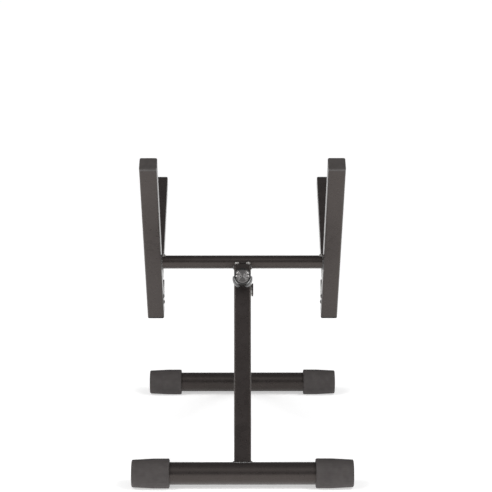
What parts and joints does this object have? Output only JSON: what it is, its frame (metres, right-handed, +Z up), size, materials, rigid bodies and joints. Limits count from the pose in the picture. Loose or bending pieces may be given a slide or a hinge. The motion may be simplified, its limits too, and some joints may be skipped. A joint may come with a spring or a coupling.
{
  "type": "folding amp stand",
  "caption": "Folding stand that holds an amplifier tilted back: leaning uprights on a single column, folding support arms, a hinged front leg with a clamp knob, and rubber-capped foot bars.",
  "frame": {"origin": "on the floor, at the centre of the stand's footprint", "axes": "+Z up; +Y forwards, from the rear foot bar with the knob to the front foot bar; +X to the right as seen from behind"},
  "size_m": [0.329, 0.533, 0.4897],
  "materials": {
    "powder_coat": "black powder coat, satin, with a fine orange-peel surface",
    "rubber_cap": "matte moulded rubber with fine lengthwise ribs",
    "plug_plastic": "moulded black plastic, semi-matte",
    "knob_plastic": "moulded black plastic, glossy",
    "turned_metal": "disc turned on a lathe, with fine circular marks",
    "zinc_plate": "bright zinc plate",
    "nylon": "natural nylon"
  },
  "bodies": {
    "rear_frame": {"rear_foot_bar": "powder_coat", "rear_column": "powder_coat", "crossbar": "powder_coat", "left_upright": "powder_coat", "right_upright": "powder_coat", "hinge_bracket": "powder_coat", "leg_stop_pin": "powder_coat", "leg_pivot_rivet": "powder_coat", "left_support_bracket": "powder_coat", "right_support_bracket": "powder_coat", "left_plug_rivets": "powder_coat", "right_plug_rivets": "powder_coat", "rear_foot_cap_left": "rubber_cap", "rear_foot_cap_right": "rubber_cap", "left_upright_top_plug": "plug_plastic", "left_upright_bottom_plug": "plug_plastic", "right_upright_top_plug": "plug_plastic", "right_upright_bottom_plug": "plug_plastic", "leg_pivot_washer": "zinc_plate", "clamp_bush": "zinc_plate", "left_support_pivot": "zinc_plate", "right_support_pivot": "zinc_plate", "left_support_washers": "nylon", "right_support_washers": "nylon"},
    "front_leg": {"front_leg": "powder_coat", "leg_hinge_block": "powder_coat", "front_foot_bar": "powder_coat", "front_foot_cap_left": "rubber_cap", "front_foot_cap_right": "rubber_cap"},
    "left_support": {"left_support_arm": "powder_coat", "left_support_tip": "plug_plastic"},
    "right_support": {"right_support_arm": "powder_coat", "right_support_tip": "plug_plastic"},
    "clamp_slide": {"clamp_stud": "zinc_plate"},
    "clamp_knob": {"clamp_knob": "knob_plastic", "knob_cap": "turned_metal"}
  },
  "joints": [
    {"name": "front_leg_fold", "type": "hinge", "parent": "rear_frame", "child": "front_leg", "pos_m": [0, -0.11025, 0.26971], "axis": [-1, 0, 0], "range_deg": [0, 75.9]},
    {"name": "left_support_fold", "type": "hinge", "parent": "rear_frame", "child": "left_support", "pos_m": [-0.1355, -0.0593, 0.26151], "axis": [1, 0, 0], "range_deg": [0, 90]},
    {"name": "right_support_fold", "type": "hinge", "parent": "rear_frame", "child": "right_support", "pos_m": [0.1355, -0.0593, 0.26151], "axis": [1, 0, 0], "range_deg": [0, 90]},
    {"name": "clamp_stud_travel", "type": "slide", "parent": "rear_frame", "child": "clamp_slide", "axis": [0, -0.9336, 0.3584], "range_m": [0, 0.005]},
    {"name": "knob_turn", "type": "hinge", "parent": "clamp_slide", "child": "clamp_knob", "pos_m": [0, -0.14607, 0.29331], "axis": [0, -0.9336, 0.3584], "range_deg": [0, 1440]}
  ],
  "couplings": [
    {"joint": "knob_turn", "follows": "clamp_stud_travel", "rad_per_m": 5026.5}
  ]
}
